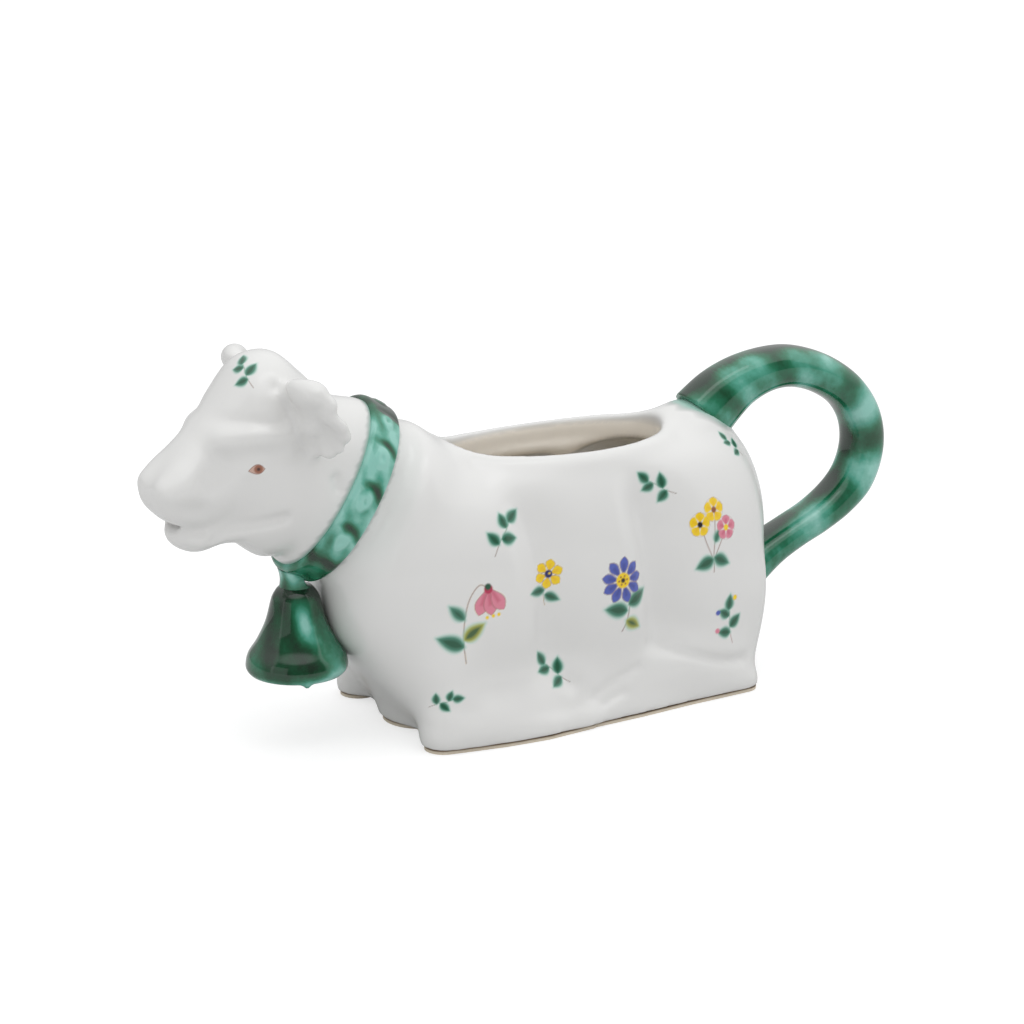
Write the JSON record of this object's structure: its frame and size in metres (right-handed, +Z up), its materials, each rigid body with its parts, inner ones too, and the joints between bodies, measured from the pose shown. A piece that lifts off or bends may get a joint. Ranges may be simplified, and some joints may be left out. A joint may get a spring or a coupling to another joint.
{
  "type": "cow creamer",
  "caption": "Ceramic milk jug shaped as a lying cow: filled through its open back, poured through its lips, held by its looped tail, with a collar and bell.",
  "frame": {"origin": "middle of the unglazed foot, on the surface that the creamer stands on", "axes": "the cow looks towards -X, its left side faces -Y, and +Z is up; the handle is at +X"},
  "size_m": [0.1667, 0.0496, 0.0785],
  "materials": {
    "white_glaze": "gloss",
    "green_glaze": "gloss",
    "bare_clay": "matt"
  },
  "bodies": {
    "root": {"body_shell": "white_glaze", "head_shell": "white_glaze", "ear_left": "white_glaze", "ear_right": "white_glaze", "foreleg_left": "white_glaze", "foreleg_right": "white_glaze", "hindleg_left": "white_glaze", "hindleg_right": "white_glaze", "bare_foot": "bare_clay", "collar": "green_glaze", "bell_loop": "green_glaze", "bell": "green_glaze", "clapper": "green_glaze", "tail_handle": "green_glaze"}
  },
  "joints": []
}
